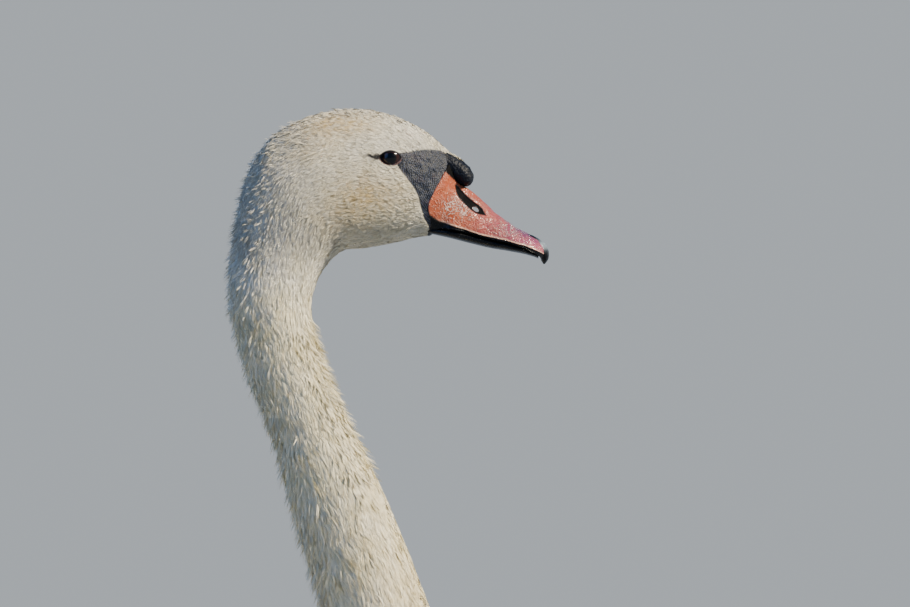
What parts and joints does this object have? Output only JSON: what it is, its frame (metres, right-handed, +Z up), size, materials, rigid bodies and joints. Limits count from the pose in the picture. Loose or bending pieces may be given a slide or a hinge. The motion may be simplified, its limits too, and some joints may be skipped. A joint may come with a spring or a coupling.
{
  "type": "mute swan",
  "caption": "Life-size still model of an adult mute swan standing on both webbed feet, wings folded, neck in a high curve, orange bill with a black knob.",
  "frame": {"origin": "on the floor under the middle of the whole bird's length and width", "axes": "+X the way the bird faces, +Y to its left, +Z up"},
  "size_m": [0.8089, 0.3022, 0.9334],
  "materials": {
    "plumage": "matte",
    "bill_orange": "satin",
    "bill_black": "satin",
    "horn": "satin",
    "eye": "polished",
    "foot_skin": "satin"
  },
  "bodies": {
    "root": {"head": "plumage", "neck_upper": "plumage", "neck_middle": "plumage", "neck_lower": "plumage", "trunk": "plumage", "tail": "plumage", "upper_bill": "bill_orange", "lower_bill": "bill_black", "bill_nail": "horn", "bill_knob": "bill_black", "eye_left": "eye", "wing_left": "plumage", "primaries_left": "plumage", "thigh_left": "plumage", "shank_left": "foot_skin", "foot_left": "foot_skin", "hind_toe_left": "foot_skin", "claw_left_inner": "horn", "claw_left_middle": "horn", "claw_left_outer": "horn", "claw_left_hind": "horn", "eye_right": "eye", "wing_right": "plumage", "primaries_right": "plumage", "thigh_right": "plumage", "shank_right": "foot_skin", "foot_right": "foot_skin", "hind_toe_right": "foot_skin", "claw_right_inner": "horn", "claw_right_middle": "horn", "claw_right_outer": "horn", "claw_right_hind": "horn"}
  },
  "joints": []
}
